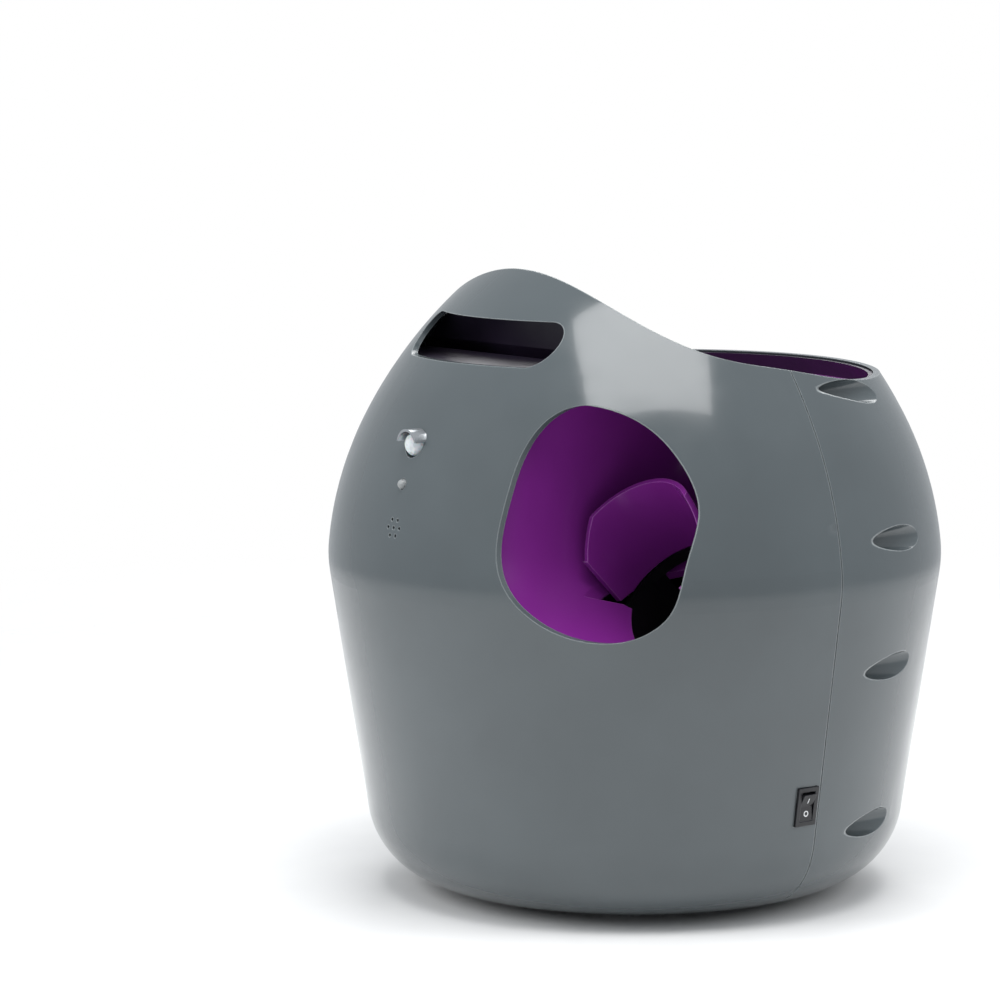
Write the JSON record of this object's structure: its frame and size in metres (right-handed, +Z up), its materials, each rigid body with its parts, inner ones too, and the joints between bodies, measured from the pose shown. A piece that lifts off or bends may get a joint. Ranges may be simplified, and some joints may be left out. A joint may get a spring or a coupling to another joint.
{
  "type": "automatic dog ball launcher",
  "caption": "Egg-shaped ball launcher with a top funnel, spring striker, tilting barrel hood, dials and power switch.",
  "frame": {"origin": "on the ground under the middle of the casing", "axes": "+Z up, -Y the front with the motion sensor, +X the side with the launch opening and the switch"},
  "size_m": [0.3276, 0.3276, 0.3346],
  "materials": {
    "casing_grey": "glossy",
    "purple_plastic": "glossy",
    "dark_plastic": "satin",
    "black_plastic": "semi-gloss",
    "white_nylon": "satin",
    "striker_rubber": "matt",
    "steel": "brushed",
    "spring_steel": "drawn wire",
    "motor_can": "satin",
    "cell_wrap": "glossy",
    "clear_foot": "smooth, part clear",
    "bright_trim": "polished",
    "lens_white": "smooth, cloudy",
    "lamp_clear": "clear",
    "board_green": "lacquered"
  },
  "bodies": {
    "casing": {"front_shell": "casing_grey", "rear_shell": "casing_grey", "rim_liner": "dark_plastic", "ball_funnel": "purple_plastic", "cavity_liner": "purple_plastic", "launch_chamber": "black_plastic", "launch_spring": "spring_steel", "gear_plate_left": "steel", "gear_plate_right": "steel", "launch_motor": "motor_can", "rack_guide": "dark_plastic", "dial_panel": "dark_plastic", "distance_sensor": "black_plastic", "ball_chute": "dark_plastic", "base_plate": "dark_plastic", "base_screws": "steel", "shell_screws": "steel", "foot_front_right": "clear_foot", "foot_rear_right": "clear_foot", "foot_rear_left": "clear_foot", "foot_front_left": "clear_foot", "battery_box": "dark_plastic", "battery_cells": "cell_wrap", "battery_contacts": "steel", "switch_housing": "black_plastic", "sensor_lens": "lens_white", "sensor_brow": "bright_trim", "sensor_board": "board_green", "status_lamp": "lamp_clear", "speaker": "black_plastic", "main_board": "board_green", "power_inlet": "black_plastic"},
    "barrel": {"barrel_hood": "purple_plastic", "tilt_sector": "white_nylon"},
    "tilt_rack": {"tilt_rack": "white_nylon"},
    "angle_dial": {"angle_dial": "black_plastic", "angle_shaft": "steel"},
    "distance_dial": {"distance_dial": "black_plastic", "distance_shaft": "steel"},
    "drive_gear": {"drive_gear": "white_nylon", "drive_axle": "steel"},
    "motor_pinion": {"motor_pinion": "white_nylon"},
    "striker": {"striker": "striker_rubber", "striker_rod": "white_nylon"},
    "power_rocker": {"switch_rocker": "black_plastic"},
    "battery_door": {"battery_door": "dark_plastic"}
  },
  "joints": [
    {"name": "barrel_tilt", "type": "hinge", "parent": "casing", "child": "barrel", "pos_m": [0.103, -0.06136, 0.17836], "axis": [1, 0, 0], "range_deg": [0, 25]},
    {"name": "tilt_rack_slide", "type": "slide", "parent": "casing", "child": "tilt_rack", "axis": [0, 0, 1], "range_m": [0, 0.0107]},
    {"name": "angle_dial_turn", "type": "hinge", "parent": "casing", "child": "angle_dial", "pos_m": [0.03965, 0.14, 0.15], "axis": [0, 1, 0], "range_deg": [-87.5, 0]},
    {"name": "distance_dial_turn", "type": "hinge", "parent": "casing", "child": "distance_dial", "pos_m": [-0.03965, 0.14, 0.15], "axis": [0, 1, 0], "range_deg": [0, 240]},
    {"name": "striker_slide", "type": "slide", "parent": "casing", "child": "striker", "axis": [0, 0.7071, -0.7071], "range_m": [0, 0.034], "stiffness_N_per_m": 600, "deforming": ["launch_spring"]},
    {"name": "drive_gear_turn", "type": "hinge", "parent": "casing", "child": "drive_gear", "pos_m": [0.103, 0.02545, 0.05234], "axis": [1, 0, 0], "range_deg": [-83, 0]},
    {"name": "motor_pinion_turn", "type": "hinge", "parent": "casing", "child": "motor_pinion", "pos_m": [0.103, -0.01055, 0.05234], "axis": [1, 0, 0], "range_deg": [0, 166]},
    {"name": "power_switch", "type": "hinge", "parent": "casing", "child": "power_rocker", "pos_m": [0.14509, -0.0084, 0.06445], "axis": [0, 1, 0], "range_deg": [-14, 0]},
    {"name": "battery_door_slide", "type": "slide", "parent": "casing", "child": "battery_door", "axis": [0, 0, -1], "range_m": [0, 0.03]}
  ],
  "couplings": [
    {"joint": "tilt_rack_slide", "follows": "barrel_tilt", "m_per_rad": 0.024},
    {"joint": "angle_dial_turn", "follows": "barrel_tilt", "ratio": -3.4286},
    {"joint": "drive_gear_turn", "follows": "striker_slide", "rad_per_m": -41.667},
    {"joint": "motor_pinion_turn", "follows": "striker_slide", "rad_per_m": 83.333}
  ]
}
